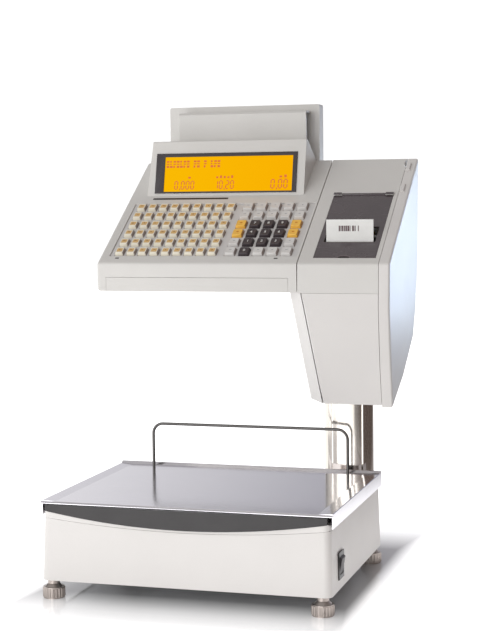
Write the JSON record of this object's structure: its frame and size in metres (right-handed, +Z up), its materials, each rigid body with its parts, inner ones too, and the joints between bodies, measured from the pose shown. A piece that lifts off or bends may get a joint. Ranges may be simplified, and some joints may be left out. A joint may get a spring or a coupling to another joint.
{
  "type": "retail price scale",
  "caption": "Counter-top shop scale with weighing pan, column, keyboard head, two displays and a built-in label printer.",
  "frame": {"origin": "on the floor, under the middle of the bounding box of the whole scale", "axes": "+X to the right of the user, +Y away from the user, +Z up"},
  "size_m": [0.4074, 0.4108, 0.6225],
  "materials": {
    "cover_light": "fine-grained moulded plastic",
    "cover_grey": "fine-grained moulded plastic",
    "panel_grey": "smooth printed panel",
    "trim_black": "grained black plastic",
    "rocker_black": "glossy",
    "display_black": "glossy screen border",
    "key_black": "matt key cap",
    "key_white": "matt key cap",
    "key_yellow": "matt key cap",
    "key_cream": "matt key cap with a coloured label",
    "stainless": "brushed stainless sheet",
    "rail_steel": "bright-drawn wire",
    "zinc_steel": "zinc-plated sheet",
    "screw_steel": "zinc-plated",
    "foot_metal": "knurled, nickel-plated",
    "column_alu": "anodised extrusion",
    "cast_alu": "die-cast",
    "cell_alu": "machined",
    "rubber": "matt",
    "silicone": "matt silicone sheet",
    "platen_rubber": "ground rubber",
    "board": "circuit board",
    "amber": "back-lit amber screen",
    "lid_smoke": "smoked, glossy",
    "motor_metal": "painted",
    "head_ceramic": "heat sink with a glazed print line",
    "spool_plastic": "moulded",
    "paper": "matt label paper"
  },
  "bodies": {
    "stand": {"base_housing": "cover_light", "base_cover": "cover_light", "printer_front": "cover_light", "neck_cover": "cover_light", "keyboard_top": "cover_grey", "keyboard_base": "cover_grey", "printer_cover": "cover_grey", "display_housing": "cover_grey", "display_hood": "cover_grey", "customer_housing": "cover_grey", "key_panel": "panel_grey", "front_trim": "trim_black", "rocker_frame": "trim_black", "mains_inlet": "trim_black", "display_window": "display_black", "customer_window": "display_black", "chassis_plate": "zinc_steel", "head_frame": "zinc_steel", "printer_frame": "zinc_steel", "frame_screws": "screw_steel", "hinge_pins": "screw_steel", "column": "column_alu", "column_bracket": "cast_alu", "pan_carrier": "cast_alu", "load_cell": "cell_alu", "carrier_buffers": "rubber", "key_mat": "silicone", "key_board": "board", "main_board": "board", "power_supply": "board", "display_lcd": "amber", "customer_lcd": "amber", "drive_motor": "motor_metal", "print_head": "head_ceramic", "label_strip": "paper"},
    "pan_set": {"pan": "stainless", "guard_rail": "rail_steel"},
    "foot_fl": {"foot_screw_fl": "foot_metal"},
    "foot_fr": {"foot_screw_fr": "foot_metal"},
    "foot_rl": {"foot_screw_rl": "foot_metal"},
    "foot_rr": {"foot_screw_rr": "foot_metal"},
    "rocker": {"power_rocker": "rocker_black"},
    "lid": {"window_lid": "lid_smoke"},
    "door": {"side_door": "cover_light"},
    "spool": {"label_spool": "spool_plastic", "label_roll": "paper"},
    "platen": {"platen_roller": "platen_rubber"},
    "digit_0": {"key_0": "key_black"},
    "digit_1": {"key_1": "key_black"},
    "digit_2": {"key_2": "key_black"},
    "digit_3": {"key_3": "key_black"},
    "digit_4": {"key_4": "key_black"},
    "digit_5": {"key_5": "key_black"},
    "digit_6": {"key_6": "key_black"},
    "digit_7": {"key_7": "key_black"},
    "digit_8": {"key_8": "key_black"},
    "digit_9": {"key_9": "key_black"},
    "yellow_keys": {"keys_yellow": "key_yellow"},
    "function_keys": {"keys_function": "key_white"},
    "preset_keys": {"keys_preset": "key_cream"}
  },
  "joints": [
    {"name": "pan_lift", "type": "slide", "parent": "stand", "child": "pan_set", "axis": [0, 0, 1], "range_m": [0, 0.07]},
    {"name": "power_switch", "type": "hinge", "parent": "stand", "child": "rocker", "pos_m": [0.16275, -0.15095, 0.052], "axis": [0, -1, 0], "range_deg": [0, 19]},
    {"name": "lid_hinge", "type": "hinge", "parent": "stand", "child": "lid", "pos_m": [0.14275, 0.10597, 0.49608], "axis": [-1, 0, 0], "range_deg": [0, 110]},
    {"name": "door_hinge", "type": "hinge", "parent": "stand", "child": "door", "pos_m": [0.19755, 0.17105, 0.5], "axis": [0, 0, 1], "range_deg": [0, 95]},
    {"name": "spool_turn", "type": "hinge", "parent": "stand", "child": "spool", "pos_m": [0.14275, 0.04505, 0.32], "axis": [1, 0, 0], "continuous": true},
    {"name": "platen_turn", "type": "hinge", "parent": "stand", "child": "platen", "pos_m": [0.14275, 0.02605, 0.405], "axis": [1, 0, 0], "continuous": true},
    {"name": "foot_fl_turn", "type": "hinge", "parent": "stand", "child": "foot_fl", "pos_m": [-0.18975, -0.19145, 0.01], "axis": [0, 0, 1], "range_deg": [-720, 720]},
    {"name": "foot_fr_turn", "type": "hinge", "parent": "stand", "child": "foot_fr", "pos_m": [0.15525, -0.19145, 0.01], "axis": [0, 0, 1], "range_deg": [-720, 720]},
    {"name": "foot_rl_turn", "type": "hinge", "parent": "stand", "child": "foot_rl", "pos_m": [-0.18975, 0.08155, 0.01], "axis": [0, 0, 1], "range_deg": [-720, 720]},
    {"name": "foot_rr_turn", "type": "hinge", "parent": "stand", "child": "foot_rr", "pos_m": [0.15525, 0.08155, 0.01], "axis": [0, 0, 1], "range_deg": [-720, 720]},
    {"name": "press_0", "type": "slide", "parent": "stand", "child": "digit_0", "axis": [0, 0.553, -0.8332], "range_m": [0, 0.0025], "stiffness_N_per_m": 200, "springref_m": -0.0015},
    {"name": "press_1", "type": "slide", "parent": "stand", "child": "digit_1", "axis": [0, 0.553, -0.8332], "range_m": [0, 0.0025], "stiffness_N_per_m": 200, "springref_m": -0.0015},
    {"name": "press_2", "type": "slide", "parent": "stand", "child": "digit_2", "axis": [0, 0.553, -0.8332], "range_m": [0, 0.0025], "stiffness_N_per_m": 200, "springref_m": -0.0015},
    {"name": "press_3", "type": "slide", "parent": "stand", "child": "digit_3", "axis": [0, 0.553, -0.8332], "range_m": [0, 0.0025], "stiffness_N_per_m": 200, "springref_m": -0.0015},
    {"name": "press_4", "type": "slide", "parent": "stand", "child": "digit_4", "axis": [0, 0.553, -0.8332], "range_m": [0, 0.0025], "stiffness_N_per_m": 200, "springref_m": -0.0015},
    {"name": "press_5", "type": "slide", "parent": "stand", "child": "digit_5", "axis": [0, 0.553, -0.8332], "range_m": [0, 0.0025], "stiffness_N_per_m": 200, "springref_m": -0.0015},
    {"name": "press_6", "type": "slide", "parent": "stand", "child": "digit_6", "axis": [0, 0.553, -0.8332], "range_m": [0, 0.0025], "stiffness_N_per_m": 200, "springref_m": -0.0015},
    {"name": "press_7", "type": "slide", "parent": "stand", "child": "digit_7", "axis": [0, 0.553, -0.8332], "range_m": [0, 0.0025], "stiffness_N_per_m": 200, "springref_m": -0.0015},
    {"name": "press_8", "type": "slide", "parent": "stand", "child": "digit_8", "axis": [0, 0.553, -0.8332], "range_m": [0, 0.0025], "stiffness_N_per_m": 200, "springref_m": -0.0015},
    {"name": "press_9", "type": "slide", "parent": "stand", "child": "digit_9", "axis": [0, 0.553, -0.8332], "range_m": [0, 0.0025], "stiffness_N_per_m": 200, "springref_m": -0.0015},
    {"name": "press_yellow_keys", "type": "slide", "parent": "stand", "child": "yellow_keys", "axis": [0, 0.553, -0.8332], "range_m": [0, 0.0025], "stiffness_N_per_m": 600, "springref_m": -0.0015},
    {"name": "press_function_keys", "type": "slide", "parent": "stand", "child": "function_keys", "axis": [0, 0.553, -0.8332], "range_m": [0, 0.0025], "stiffness_N_per_m": 1500, "springref_m": -0.0015},
    {"name": "press_preset_keys", "type": "slide", "parent": "stand", "child": "preset_keys", "axis": [0, 0.553, -0.8332], "range_m": [0, 0.0025], "stiffness_N_per_m": 3000, "springref_m": -0.0015}
  ],
  "couplings": [
    {"joint": "platen_turn", "follows": "spool_turn", "ratio": 5.625}
  ]
}
